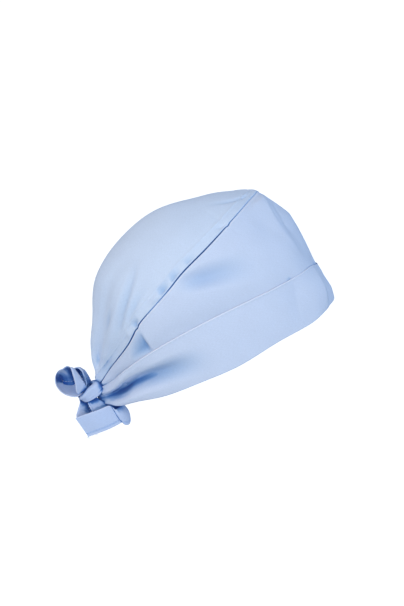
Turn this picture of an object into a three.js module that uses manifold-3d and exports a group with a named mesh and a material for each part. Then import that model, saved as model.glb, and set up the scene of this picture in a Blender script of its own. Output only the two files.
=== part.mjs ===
// Surgical cap: a tie-back cap of woven cloth in the form that it keeps on a head.
// Millimetres. +X points to the forehead, +Y to the wearer's left and +Z up.
// The origin is the middle of the head opening, half way from its front edge to the knot.

import * as THREE from 'three';
import { mergeVertices } from 'three/addons/utils/BufferGeometryUtils.js';
import Module from 'manifold-3d';

const wasm = await Module();
wasm.setup();

// Driving sizes
const PANEL_WALL = 1.2; // crown and side panels, one layer with its ease
const CUFF_WALL = 2.0; // the cuff is a doubled band
const TIE_WALL = 1.2; // the ties are folded tape
const GAP = 0.3; // clearance between neighbouring pieces
const SEAM_INSET = 0.55; // each panel stops this far from the crown seam
const CUFF_BOW = 1.0; // how far the cuff bulges between its edges
const CUFF_LAP = 0.2; // share of the cuff's height that laps over the side panel
const LAP_EASE = 0.15; // share of the panel's height over which the lap's inset fades
const CROWN_RISE = 1.15; // pull of the crown's cloth up from the seam
const CROWN_SPREAD = 1.35; // pull of the crown's cloth across the middle
const SECTION_STEPS = 4; // facets from one section to the next
const SECTION_SPAN = 33; // mean distance from one section to the next
const CROWN_COLUMNS = 20; // facets across the crown
const PANEL_START = 0.25; // section where the side panel's ends lie, beside the knot
const CROWN_TIP = 0.05; // share of a section that the crown's tip stops short of the peak
const BAND_SPAN = 47; // mean height of the cuff, and of the side panel above it
const CROWN_SPAN = 190; // mean width of the crown, over the top from seam to seam

// Sections from the knot (0) to the middle of the forehead (9), on the right side; the left
// side mirrors them up to 18, at the knot again.
// rim, cuff and seam: points on the opening's edge, the cuff's top edge and the crown seam.
// crest: [x, z] of the crown on the middle plane. swell: bulge of the side panel.
const SECTIONS = [
  { rim: [-111, -3, -46], cuff: [-111, -3, -34], seam: [-111, -3, -31], crest: [-114, -28], swell: 0 },
  { rim: [-95, -24, -44], cuff: [-101, -23, -22], seam: [-104, -15, -15], crest: [-115, -15], swell: 1 },
  { rim: [-81, -43, -38], cuff: [-93, -43, -8], seam: [-99, -33, -1], crest: [-116, 1], swell: 1 },
  { rim: [-59, -61, -30], cuff: [-76, -63, 9], seam: [-90, -55, 20], crest: [-116, 26], swell: 2 },
  { rim: [-30, -75, -17], cuff: [-48, -76, 28], seam: [-75, -71, 49], crest: [-112, 69], swell: 3 },
  { rim: [4, -79, -1], cuff: [-12, -79, 46], seam: [-52, -77, 79], crest: [-90, 103], swell: 4 },
  { rim: [42, -73, 17], cuff: [28, -73, 62], seam: [-23, -70, 105], crest: [-57, 129], swell: 6 },
  { rim: [76, -58, 30], cuff: [61, -56, 73], seam: [4, -52, 127], crest: [-16, 142], swell: 7 },
  { rim: [97, -38, 39], cuff: [81, -34, 78], seam: [23, -29, 139], crest: [14, 146], swell: 6 },
  { rim: [112, 0, 42], cuff: [95, 0, 76], seam: [38, 0, 145], crest: [38, 145], swell: 6 },
];

// Folds, dents and gathers, placed on the cloth as [section, height] or [section, across].
// Each runs between two places, arching aside by `arch`, is deepest at the share `peak` of its
// run (0.4 unless given) and widens from width[0] to width[1]. A negative depth is a hollow.
const CUFF_FOLDS = [
  { name: 'right pocket', from: [0.1, 0.52], to: [5, 0.2], arch: 0.1, width: [4, 16], depth: -10 },
  { name: 'right lip', from: [0.1, 0.8], to: [5, 0.5], arch: 0.12, width: [3, 11], depth: 2.5 },
  { name: 'right rim roll', from: [0.1, 0.1], to: [4, 0.05], arch: 0.05, width: [3, 8], depth: 2 },
  { name: 'left pocket', from: [17.9, 0.52], to: [13.4, 0.25], arch: 0.1, width: [4, 15], depth: -8 },
  { name: 'left lip', from: [17.9, 0.8], to: [13.4, 0.5], arch: 0.12, width: [3, 11], depth: 2 },
  { name: 'right brow ridge', from: [8.1, -0.2], to: [8.2, 1.2], width: [12, 12], depth: 1.5, peak: 0.5 },
  { name: 'left brow ridge', from: [9.9, -0.2], to: [9.8, 1.2], width: [12, 12], depth: 1.5, peak: 0.5 },
];
const SIDE_FOLDS = [
  { name: 'right temple dent', from: [4.4, 1.97], to: [6.4, 1.4], width: [14, 22], depth: -4 },
  { name: 'right rear crease', from: [3.6, 2], to: [3, 1.2], width: [8, 8], depth: -2.5, peak: 0.5 },
  { name: 'right brow ridge', from: [8.1, 0.9], to: [8.7, 2.1], width: [13, 13], depth: 1.5 },
  { name: 'left brow ridge', from: [9.9, 0.9], to: [9.3, 2.1], width: [13, 13], depth: 1.5 },
  { name: 'forehead bend', from: [7.4, 1.6], to: [10.6, 1.6], width: [26, 26], depth: 5, peak: 0.5 },
  { name: 'left temple dent', from: [13.8, 1.9], to: [11.8, 1.4], width: [13, 20], depth: -3.5, peak: 0.5 },
];
const CROWN_FOLDS = [
  { name: 'right gather', from: [0.1, 0.38], to: [5.2, 0.33], width: [4, 13], depth: -3.5, peak: 0.35 },
  { name: 'back ridge', from: [0.1, 0.48], to: [4.4, 0.46], width: [4, 12], depth: 3, peak: 0.35 },
  { name: 'right ridge', from: [0.1, 0.26], to: [4.8, 0.22], width: [4, 12], depth: 2.5, peak: 0.35 },
  { name: 'right seam gather', from: [0.1, 0.14], to: [4.4, 0.1], width: [3, 9], depth: -2.2 },
  { name: 'left gather', from: [0.1, 0.6], to: [4.8, 0.66], width: [4, 13], depth: -3.5, peak: 0.35 },
  { name: 'left ridge', from: [0.1, 0.74], to: [4.6, 0.77], width: [4, 12], depth: 2.5, peak: 0.35 },
  { name: 'upper pucker', from: [5, 0], to: [4.7, 0.14], width: [7, 7], depth: -2.5 },
  { name: 'middle pucker', from: [4.5, 0], to: [4.3, 0.14], width: [6, 6], depth: -2.2 },
  { name: 'lower pucker', from: [3.7, 0], to: [3.5, 0.14], width: [6, 6], depth: -2.2 },
];

// The knot is a wrap of tie with a bundle through it.
const KNOT = {
  centre: new THREE.Vector3(-119, 0, -37),
  along: new THREE.Vector3(0.79, 0, 0.613), // the wrap's long direction
  half: { along: 12.5, across: 10.5, through: 7 },
  roundness: 2.6, // exponent of its rounded section
};

// Ties: a row for each station, with the two edges of the tape and how far its middle bulges.
const LOOP_RIGHT = [
  { near: [-133, -8, -36], far: [-124, -4, -32], bulge: 0 },
  { near: [-134, -11, -26], far: [-125, -4, -28], bulge: -1 },
  { near: [-137, -12, -19], far: [-129, -2, -23], bulge: -2 },
  { near: [-139, -10, -12], far: [-129, 2, -29], bulge: -2.5 },
  { near: [-144, -5, -13], far: [-133, 7, -31], bulge: -3 },
  { near: [-149, 0, -18], far: [-138, 11, -31], bulge: -3 },
  { near: [-151, 3, -26], far: [-139, 14, -32], bulge: -2.5 },
  { near: [-148, 3, -34], far: [-138, 14, -33], bulge: -2.5 },
  { near: [-142, 0, -39], far: [-132, 13, -33], bulge: -2 },
  { near: [-132, -4, -41], far: [-128, 4, -36], bulge: 0 },
];
const LOOP_LEFT = [
  { near: [-122, 3, -35], far: [-118, 6, -32], bulge: 0 },
  { near: [-126, 7, -29], far: [-119, 15, -27], bulge: -1 },
  { near: [-129, 10, -22], far: [-121, 21, -23], bulge: -2 },
  { near: [-132, 13, -19], far: [-125, 26, -20], bulge: -2 },
  { near: [-133, 15, -21], far: [-129, 27, -22], bulge: -1.5 },
  { near: [-132, 15, -28], far: [-129, 26, -28], bulge: -1.5 },
  { near: [-129, 12, -34], far: [-125, 20, -33], bulge: -1 },
  { near: [-125, 5, -37], far: [-122, 10, -36], bulge: 0 },
];
const TAIL_RIGHT = [
  { near: [-113, -4, -43], far: [-123, -5, -45], bulge: 0 },
  { near: [-107, -7, -48], far: [-118, -9, -55], bulge: 0.5 },
  { near: [-100, -9, -49], far: [-106, -12, -63], bulge: 1 },
  { near: [-94, -11, -47], far: [-89, -14, -63], bulge: 2.5 },
  { near: [-92, -17, -46], far: [-85, -19, -62], bulge: 2.8 },
  { near: [-98, -22, -49], far: [-89, -25, -64], bulge: 2.5 },
  { near: [-105, -25, -46], far: [-93, -27, -62], bulge: 0.5 },
  { near: [-115, -24, -49], far: [-103, -27, -66], bulge: 0.5 },
  { near: [-126, -22, -53], far: [-114, -25, -71], bulge: 0.5 },
  { near: [-136, -19, -57], far: [-124, -22, -75], bulge: 0 },
];
const TAIL_LEFT = [
  { near: [-130, 2, -41], far: [-118, 2, -46], bulge: 0 },
  { near: [-130, 0, -47], far: [-119, 1, -51], bulge: 0.5 },
  { near: [-132, -3, -56], far: [-117, -2, -55], bulge: 1 },
  { near: [-132, -8, -62], far: [-114, -8, -60], bulge: 1 },
  { near: [-121, -12, -72], far: [-106, -13, -65], bulge: 0 },
];

const LAST = SECTIONS.length - 1;
const MIRROR = new THREE.Vector3(1, -1, 1);
const STEP = 0.01; // of a section, for measuring directions
const TAPE_COLUMNS = [0, 0.25, 0.5, 0.75, 1]; // places across a tie

const { lerp, clamp, smoothstep } = THREE.MathUtils;
const smooth = (x) => smoothstep(x, 0, 1);

// A curve through one column of the sections, from the knot round the forehead to the knot.
function trackLine(column) {
  const right = SECTIONS.map((section) => new THREE.Vector3(...section[column]));
  const left = right.slice(0, LAST).reverse().map((point) => point.clone().multiply(MIRROR));
  const curve = new THREE.CatmullRomCurve3([...right, ...left]);
  curve.curveType = 'catmullrom';
  return (u) => curve.getPoint(clamp(u / (2 * LAST), 0, 1));
}

const rimLine = trackLine('rim');
const cuffLine = trackLine('cuff');
const seamLine = trackLine('seam');

// The crest and the swell, as one curve: x and z of the crest, and the swell as its y.
const crestCurve = new THREE.CatmullRomCurve3(
  SECTIONS.map(({ crest, swell }) => new THREE.Vector3(crest[0], swell, crest[1])),
);
crestCurve.curveType = 'catmullrom';
const crestAt = (u) => crestCurve.getPoint(Math.min(u, 2 * LAST - u) / LAST);

// Outward direction of the band between two lines at section u.
function bandNormal(lower, upper, u) {
  const along = lower(u + STEP).sub(lower(u - STEP));
  const up = upper(u).sub(lower(u));
  return along.cross(up).normalize();
}

// The cap's side from the rim (height 0) over the cuff's top (1) to the crown seam (2).
function sideSurface(u, height) {
  const onCuff = height < 1;
  const [lower, upper] = onCuff ? [rimLine, cuffLine] : [cuffLine, seamLine];
  const share = onCuff ? height : height - 1;
  const bulge = (onCuff ? CUFF_BOW : crestAt(u).y) * 4 * share * (1 - share);
  return lower(u).lerp(upper(u), share).addScaledVector(bandNormal(lower, upper, u), bulge);
}

// The crown from the right seam (across 0) over the crest (0.5) to the left seam (1):
// a Hermite curve that leaves the seam in line with the side panel.
function crownSurface(u, across) {
  const share = across < 0.5 ? 2 * across : 2 - 2 * across;
  const seam = seamLine(u);
  const crest = crestAt(u).setY(0);
  const start = seam.clone().sub(sideSurface(u, 2 - STEP)).normalize();
  start.multiplyScalar(CROWN_RISE * crest.distanceTo(seam.clone().setY(0)));
  const finish = new THREE.Vector3(0, -CROWN_SPREAD * seam.y, 0);
  const s2 = share * share;
  const s3 = s2 * share;
  const point = seam.multiplyScalar(2 * s3 - 3 * s2 + 1)
    .addScaledVector(start, s3 - 2 * s2 + share)
    .addScaledVector(crest, 3 * s2 - 2 * s3)
    .addScaledVector(finish, s3 - s2);
  return across < 0.5 ? point : point.multiply(MIRROR);
}

// How far the folds push a place of the surface outwards. `span` is the length in millimetres
// of one unit of the second parameter.
function foldDepth(surface, span, u, v, folds) {
  const place = surface(u, v);
  const flat = (a, b) => new THREE.Vector3(a * SECTION_SPAN, b * span, 0);
  let depth = 0;
  for (const { from, to, arch = 0, width, depth: full, peak = 0.4 } of folds) {
    const run = new THREE.Line3(flat(...from), flat(...to));
    const share = run.closestPointToPointParameter(flat(u, v), true);
    const rise = arch * 4 * share * (1 - share);
    const centre = surface(lerp(from[0], to[0], share), lerp(from[1], to[1], share) + rise);
    const away = centre.distanceTo(place) / lerp(...width, share);
    const reach = share < peak ? share / peak : (1 - share) / (1 - peak);
    depth += full * smooth(1 - away) * smooth(reach);
  }
  return depth;
}

// Outward direction of a surface whose first parameter runs round the cap. `us` and `vs` are
// the places that its panel covers.
function surfaceNormal(surface, u, v, us, vs) {
  const ahead = surface(Math.min(u + STEP, us.at(-1)), v);
  const behind = surface(Math.max(u - STEP, us[0]), v);
  const above = surface(u, Math.min(v + STEP, vs.at(-1)));
  const below = surface(u, Math.max(v - STEP, vs[0]));
  return ahead.sub(behind).cross(above.sub(below)).normalize();
}

// Closed solid between two grids of points, outer and inner, both [row][column].
function solidBetween(outer, inner) {
  const rows = outer.length;
  const columns = outer[0].length;
  const positions = [...outer.flat(), ...inner.flat()].flatMap((point) => point.toArray());
  const index = [];
  const quad = (a, b, c, d) => index.push(a, b, c, a, c, d);
  const out = (i, j) => i * columns + j;
  const inn = (i, j) => rows * columns + i * columns + j;
  for (let i = 0; i < rows - 1; i += 1) {
    for (let j = 0; j < columns - 1; j += 1) {
      quad(out(i, j), out(i + 1, j), out(i + 1, j + 1), out(i, j + 1));
      quad(inn(i, j), inn(i, j + 1), inn(i + 1, j + 1), inn(i + 1, j));
    }
    quad(out(i, 0), inn(i, 0), inn(i + 1, 0), out(i + 1, 0));
    quad(out(i, columns - 1), out(i + 1, columns - 1), inn(i + 1, columns - 1), inn(i, columns - 1));
  }
  for (let j = 0; j < columns - 1; j += 1) {
    quad(out(0, j), out(0, j + 1), inn(0, j + 1), inn(0, j));
    quad(out(rows - 1, j), inn(rows - 1, j), inn(rows - 1, j + 1), out(rows - 1, j + 1));
  }
  const geometry = new THREE.BufferGeometry();
  geometry.setAttribute('position', new THREE.Float32BufferAttribute(positions, 3));
  geometry.setIndex(index);
  return geometry;
}

const range = (from, to, steps) => Array.from({ length: steps + 1 }, (_, i) => lerp(from, to, i / steps));

// A panel of cloth: the surface with its folds, `wall` thick, lying `inset(v)` inside.
function panel(surface, us, vs, { folds, span, wall, inset = () => 0 }) {
  const layer = (depth) => us.map((u) => vs.map((v) => {
    const lift = foldDepth(surface, span, u, v, folds) - inset(v) - depth;
    return surface(u, v).addScaledVector(surfaceNormal(surface, u, v, us, vs), lift);
  }));
  return solidBetween(layer(0), layer(wall));
}

// A tie: a tape between two edge curves, whose middle bulges.
function tape(stations, steps) {
  const curveThrough = (points) => {
    const curve = new THREE.CatmullRomCurve3(points);
    return (t) => curve.getPoint(clamp(t, 0, 1));
  };
  const near = curveThrough(stations.map((row) => new THREE.Vector3(...row.near)));
  const far = curveThrough(stations.map((row) => new THREE.Vector3(...row.far)));
  const bulge = curveThrough(stations.map((row) => new THREE.Vector3(row.bulge, 0, 0)));
  const layer = (side) => range(0, 1, steps).map((t) => {
    const along = near(t + STEP).add(far(t + STEP)).sub(near(t - STEP)).sub(far(t - STEP));
    const normal = along.cross(far(t).sub(near(t))).normalize();
    return TAPE_COLUMNS.map((v) => {
      const rise = side * TIE_WALL / 2 + bulge(t).x * 4 * v * (1 - v);
      return near(t).lerp(far(t), v).addScaledVector(normal, rise);
    });
  });
  return solidBetween(layer(1), layer(-1));
}

// The knot, grown by `extra` all round.
function knotGeometry(extra) {
  const geometry = new THREE.SphereGeometry(1, 20, 12);
  const position = geometry.getAttribute('position');
  const through = new THREE.Vector3().crossVectors(KNOT.along, new THREE.Vector3(0, 1, 0));
  const frame = new THREE.Matrix4().makeBasis(KNOT.along, new THREE.Vector3(0, 1, 0), through);
  const point = new THREE.Vector3();
  for (let i = 0; i < position.count; i += 1) {
    point.fromBufferAttribute(position, i);
    const { x, y, z } = point;
    const power = KNOT.roundness;
    const radius = (Math.abs(x) ** power + Math.abs(y) ** power + Math.abs(z) ** power) ** (-1 / power);
    point.multiplyScalar(radius);
    point.x *= KNOT.half.along + extra;
    point.y *= KNOT.half.across + extra;
    point.z *= KNOT.half.through + extra;
    point.applyMatrix4(frame).add(KNOT.centre);
    position.setXYZ(i, point.x, point.y, point.z);
  }
  return geometry;
}

function toManifold(geometry) {
  geometry.deleteAttribute('normal');
  geometry.deleteAttribute('uv');
  const merged = mergeVertices(geometry, 1e-4);
  const triVerts = [];
  const { array } = merged.index;
  for (let i = 0; i < array.length; i += 3) {
    const [a, b, c] = array.slice(i, i + 3);
    if (a !== b && b !== c && c !== a) triVerts.push(a, b, c);
  }
  return new wasm.Manifold(new wasm.Mesh({
    numProp: 3,
    vertProperties: merged.getAttribute('position').array,
    triVerts: Uint32Array.from(triVerts),
  }));
}

function toGeometry(manifold) {
  const mesh = manifold.getMesh();
  const geometry = new THREE.BufferGeometry();
  geometry.setAttribute('position', new THREE.Float32BufferAttribute(mesh.vertProperties, 3));
  geometry.setIndex(new THREE.BufferAttribute(mesh.triVerts, 1));
  geometry.computeVertexNormals();
  return geometry;
}

const knot = toManifold(knotGeometry(0));
const knotSpace = toManifold(knotGeometry(GAP));
const clearOfKnot = (geometry) => toManifold(geometry).subtract(knotSpace);

const cuffSteps = 2 * LAST * SECTION_STEPS;
const lapInset = (height) => (CUFF_WALL + GAP) * (1 - smooth((height - 1) / LAP_EASE));

function makeCuff() {
  const heights = [...range(0, 1 - CUFF_LAP, 10), 1];
  return clearOfKnot(panel(sideSurface, range(0, 2 * LAST, cuffSteps), heights, {
    folds: CUFF_FOLDS,
    span: BAND_SPAN,
    wall: CUFF_WALL,
  }));
}

// The side surface, drawn in so that the panel's top edge stops short of the crown seam.
function sideCloth(u, height) {
  const room = SEAM_INSET / cuffLine(u).distanceTo(seamLine(u));
  return sideSurface(u, height < 1 ? height : 1 + (height - 1) * (1 - room));
}

function makeSidePanel() {
  const heights = [1 - CUFF_LAP, 1, ...range(1 + LAP_EASE / 2, 2, 6)];
  const us = [PANEL_START, ...range(0.5, 2 * LAST - 0.5, cuffSteps - 4), 2 * LAST - PANEL_START];
  return clearOfKnot(panel(sideCloth, us, heights, {
    folds: SIDE_FOLDS,
    span: BAND_SPAN,
    wall: PANEL_WALL,
    inset: lapInset,
  }));
}

// The crown surface, drawn in so that both its edges stop short of the seam.
function crownCloth(u, across) {
  const room = SEAM_INSET / (2 * seamLine(u).setY(0).distanceTo(crestAt(u).setY(0)));
  const edge = Math.min(room, 0.1);
  return crownSurface(u, lerp(edge, 1 - edge, across));
}

function makeCrown() {
  const us = range(0, LAST - CROWN_TIP, LAST * SECTION_STEPS);
  return clearOfKnot(panel(crownCloth, us, range(0, 1, CROWN_COLUMNS), {
    folds: CROWN_FOLDS,
    span: CROWN_SPAN,
    wall: PANEL_WALL,
  }));
}

const CLOTH_BLUE = 0xbdd0ec;
const TIE_BLUE = 0xb4c9ec;

function node(name, manifold, colour) {
  const material = new THREE.MeshStandardMaterial({ color: colour, roughness: 0.9, metalness: 0 });
  const mesh = new THREE.Mesh(toGeometry(manifold), material);
  mesh.name = name;
  return mesh;
}

const cap = new THREE.Group();
cap.name = 'surgical_cap';
cap.add(
  node('crown_panel', makeCrown(), CLOTH_BLUE),
  node('side_panel', makeSidePanel(), CLOTH_BLUE),
  node('cuff', makeCuff(), CLOTH_BLUE),
  node('tie_knot', knot, TIE_BLUE),
  node('loop_right', clearOfKnot(tape(LOOP_RIGHT, 24)), TIE_BLUE),
  node('loop_left', clearOfKnot(tape(LOOP_LEFT, 18)), TIE_BLUE),
  node('tail_right', clearOfKnot(tape(TAIL_RIGHT, 27)), TIE_BLUE),
  node('tail_left', clearOfKnot(tape(TAIL_LEFT, 10)), TIE_BLUE),
);

export default cap;
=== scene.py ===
# %% [markdown]
# # A tie-back surgical cap
#
# This lesson dresses a measured model of a surgical cap in real cloth. The model comes from a
# CAD program as plain walls. Here each wall becomes woven cotton with folds, a seam, a turned-up
# cuff and a bow, in the same place and at the same size.

# %% Load the fixed frame
import math

import bpy
import numpy as np
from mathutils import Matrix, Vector
from mathutils.bvhtree import BVHTree


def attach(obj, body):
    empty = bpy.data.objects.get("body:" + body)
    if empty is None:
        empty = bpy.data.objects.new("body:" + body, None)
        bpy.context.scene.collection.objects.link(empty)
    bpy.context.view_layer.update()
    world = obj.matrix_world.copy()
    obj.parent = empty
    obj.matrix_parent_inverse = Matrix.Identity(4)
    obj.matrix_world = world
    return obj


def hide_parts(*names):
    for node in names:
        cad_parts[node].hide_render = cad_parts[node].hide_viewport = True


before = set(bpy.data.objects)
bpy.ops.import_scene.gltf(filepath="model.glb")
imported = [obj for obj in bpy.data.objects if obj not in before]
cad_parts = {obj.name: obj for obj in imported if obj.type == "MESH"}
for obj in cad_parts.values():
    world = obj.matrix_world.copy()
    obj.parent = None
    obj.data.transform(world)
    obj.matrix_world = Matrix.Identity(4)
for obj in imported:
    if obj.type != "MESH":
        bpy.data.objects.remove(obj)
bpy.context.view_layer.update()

# %% [markdown]
# ## Sizes
#
# Blender works in metres, but cloth is easier to think about in millimetres. Every table below is
# in millimetres and is multiplied by `MM` once, where its points are made. Woven cotton is about
# 0.3 mm thick, and the ties are the same cloth folded and pressed into a tape.

# %% Name the sizes
MM = 0.001
CLOTH = 0.3 * MM            # thickness of one layer
TAPE = 1.0 * MM             # a tie, pressed flat
STEP = 0.01                 # of a section, for measuring directions
SECTION_SPAN = 33 * MM      # mean distance from one section to the next
BAND_SPAN = 47 * MM         # mean height of the cuff and of the side panel
CROWN_SPAN = 190 * MM       # mean width of the crown over the top
print("layers of cloth in a millimetre:", round(MM / CLOTH, 1))

# %% [markdown]
# ## The shape as a table of sections
#
# A cap is easiest to describe as ribs: ten sections from the knot (0) round the wearer's right
# side to the middle of the forehead (9). Each names the same four places. The left side is a
# mirror image, so the table isn't written twice: its sections run on from 10 to 18.

# %% The sections, right side
SECTIONS = [
    dict(rim=(-111, -3, -48), cuff=(-111, -3, -34), seam=(-111, -3, -31), crest=(-114, -28), swell=0),
    dict(rim=(-96, -24, -46), cuff=(-101, -23, -22), seam=(-104, -15, -15), crest=(-115, -15), swell=1),
    dict(rim=(-81, -43, -38.5), cuff=(-93, -43, -8), seam=(-99, -33, -1), crest=(-116, 1), swell=1),
    dict(rim=(-59, -61, -30.8), cuff=(-76, -63, 9), seam=(-90, -55, 20), crest=(-116, 26), swell=2),
    dict(rim=(-30, -75, -17), cuff=(-48, -76, 28), seam=(-75, -71, 49), crest=(-112, 69), swell=3),
    dict(rim=(4, -79, -2.5), cuff=(-12, -79, 46), seam=(-52, -77, 79), crest=(-89.5, 102.5), swell=4),
    dict(rim=(42, -73, 17), cuff=(28, -73, 62), seam=(-23, -70, 105), crest=(-56.5, 128), swell=5.5),
    dict(rim=(76, -60, 30), cuff=(60, -58, 73), seam=(4, -52, 127), crest=(-15, 140.5), swell=6),
    dict(rim=(94, -41, 39), cuff=(78, -37, 78), seam=(23, -29, 139), crest=(14, 144.5), swell=4),
    dict(rim=(112, 0, 43), cuff=(95, 0, 76), seam=(38, 0, 145), crest=(38, 145), swell=1.5),
]
LAST = len(SECTIONS) - 1
ROUND = 2 * LAST
CUFF_BOW = 1.0 * MM         # how far the cuff bulges between its edges
CROWN_RISE = 1.15           # pull of the crown's cloth up from the seam
CROWN_SPREAD = 1.35         # pull of the crown's cloth across the middle
print("sections round the head:", ROUND + 1)

# %% [markdown]
# ## Smooth curves
#
# Ten ribs joined by straight lines would give a cap with corners. A spline is a smooth curve
# through rows of numbers. It is written as a function of the row's place in the list, so that
# place 3.5 is halfway from the fourth row to the fifth.

# %% Curves through rows of numbers
def unit(vectors):
    return vectors / np.maximum(np.linalg.norm(vectors, axis=-1, keepdims=True), 1e-9)


def hump(distance, width):
    return np.exp(-((distance / width) ** 2))


def hermite(start, end, leave, arrive, share):
    """A curve between two points, given how it leaves the one and arrives at the other."""
    s2, s3 = share**2, share**3
    return (start * (2 * s3 - 3 * s2 + 1) + leave * (s3 - 2 * s2 + share)
            + end * (3 * s2 - 2 * s3) + arrive * (s3 - s2))


def spline(rows, tight=False):
    """A smooth curve through rows of numbers, as a function of the row's place in the list. A
    tight one turns evenly even where its rows are unevenly spaced."""
    rows = np.array(rows, float)
    rows = np.vstack([2 * rows[0] - rows[1], rows, 2 * rows[-1] - rows[-2]])
    gaps = np.linalg.norm(np.diff(rows, axis=0), axis=1)
    gaps = np.maximum(gaps, 1e-6) ** 0.5 if tight else np.ones(len(gaps))
    end = len(rows) - 3

    def at(place):
        place = np.clip(np.asarray(place, float), 0, end)
        i = np.minimum(place.astype(int), end - 1)
        a, b, c, d = (rows[i + k] for k in range(4))
        before, here, after = (gaps[i + k][..., None] for k in range(3))
        leave = here * ((b - a) / before - (c - a) / (before + here)) + c - b
        arrive = c - b - here * ((d - b) / (here + after) - (d - c) / after)
        return hermite(b, c, leave, arrive, (place - i)[..., None])

    return at


print("halfway along a steepening curve:", spline([[0], [1], [4]])(1.5))

# %% [markdown]
# ## Lines round the head
#
# The rim, the cuff's edge and the seam go right round the head. The crest runs over its middle,
# and a few single numbers, such as how far the side swells out, go with each section. Where the
# cloth is pulled, the seam leaves its even line in small jogs.

# %% The lines that the panels hang on
def from_knot(u):
    """How many sections a place lies from the knot, on either side of the head."""
    return np.minimum(u, ROUND - u)


def by_section(values):
    """One number for each section, as a smooth function of the place round the head."""
    curve = spline([[value] for value in values])
    return lambda u: curve(from_knot(u))[..., 0]


def round_the_head(column):
    right = [section[column] for section in SECTIONS]
    left = [(x, -y, z) for x, y, z in reversed(right[:-1])]
    return spline(np.array(right + left) * MM)


rim_line, cuff_line, seam_path = (round_the_head(column) for column in ("rim", "cuff", "seam"))
crest_line = spline([(section["crest"][0], 0, section["crest"][1]) for section in SECTIONS])
swell_at = by_section([section["swell"] for section in SECTIONS])
SEAM_JOGS = [               # pull down in mm, or up where it is negative, over a reach in sections
    dict(place=3.5, pull=-2.2, reach=0.45),
    dict(place=3.42, pull=0.8, reach=0.05),
    dict(place=4.65, pull=0.9, reach=0.35),
    dict(place=6.72, pull=0.7, reach=0.06),
    dict(place=8.65, pull=-0.5, reach=0.25),
]


def seam_line(u):
    """The seam with its small jogs, down towards the cuff or up from it."""
    place = from_knot(u)[..., None]
    pull = sum(jog["pull"] * MM * hump(place - jog["place"], jog["reach"]) for jog in SEAM_JOGS)
    return seam_path(u) + unit(cuff_line(u) - seam_path(u)) * pull


rim_length = np.linalg.norm(np.diff(rim_line(np.linspace(0, ROUND, 200)), axis=0), axis=1).sum()
print("the opening measures", round(rim_length / MM), "mm round")

# %% [markdown]
# ## Two surfaces
#
# A surface here is a function: it takes a place on the cloth and gives a point in space. The side
# runs from the rim (height 0) over the cuff's edge (1) to the crown seam (2). The crown runs from
# seam to seam over the top. Numpy works on whole grids at once, so thousands of points are quick.

# %% Side and crown as functions
def smooth(x):
    x = np.clip(x, 0, 1)
    return x * x * (3 - 2 * x)


def bow(share):
    """An even arc that is 0 at both ends and 1 in the middle."""
    return 4 * share * (1 - share)


def band(lower, upper, u, share, bulge):
    """A band of cloth between two lines, bulging outwards in its middle."""
    along = lower(u + STEP) - lower(u - STEP)
    up = upper(u) - lower(u)
    out = unit(np.cross(along, up))
    return lower(u) + up * share + out * bulge * bow(share)


def side_surface(u, height):
    u, height = np.broadcast_arrays(np.asarray(u, float), np.asarray(height, float))
    h = height[..., None]
    on_cuff = band(rim_line, cuff_line, u, h, CUFF_BOW)
    on_panel = band(cuff_line, seam_line, u, h - 1, swell_at(u)[..., None] * MM)
    return np.where(h < 1, on_cuff, on_panel)


def crown_surface(u, across):
    u, across = np.broadcast_arrays(np.asarray(u, float), np.asarray(across, float))
    v = across[..., None]
    seam, crest = seam_line(u), crest_line(from_knot(u)) * MM
    reach = np.linalg.norm((seam - crest) * (1, 0, 1), axis=-1, keepdims=True)
    leave = unit(seam - side_surface(u, 2 - STEP)) * CROWN_RISE * reach
    arrive = seam[..., 1:2] * (0, -CROWN_SPREAD, 0)
    right_half = hermite(seam, crest, leave, arrive, 2 * np.minimum(v, 1 - v))
    return right_half * np.where(v < 0.5, 1, (1, -1, 1))


def slopes(surface, u, v):
    """How the surface runs in its two directions."""
    along = surface(np.minimum(u + STEP, ROUND), v) - surface(np.maximum(u - STEP, 0), v)
    return along, surface(u, v + STEP) - surface(u, v - STEP)


print("peak of the crown, mm:", (crown_surface(LAST, 0.5) / MM).round())

# %% [markdown]
# ## Folds
#
# Cloth that is pulled to a knot gathers into folds, and cloth that bridges a hollow dents. Each
# fold is one row: where it runs from and to, how wide it is at each end and its `depth` at its
# peak, which is halfway unless `peak` moves it. A ridge has a positive depth, a hollow a negative
# one. A `sharp` fold is a tent with straight flanks, as in pressed cloth. `skew` makes one flank
# wider, and `lean` pushes the crest over sideways, as the cuff hangs beside the knot. `arch` bends
# its run. `shade` is shade painted into the colour of a fold that is too shallow for the rays
# further down to find.

# %% The folds of the cuff, in millimetres
def fold(start, end, width, depth, arch=0.0, peak=0.5, sharp=0.0, skew=1.0, lean=0.0, shade=0.0):
    return dict(start=start, end=end, width=width, depth=depth, arch=arch, peak=peak,
                sharp=sharp, skew=skew, lean=lean, shade=shade)


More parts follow.
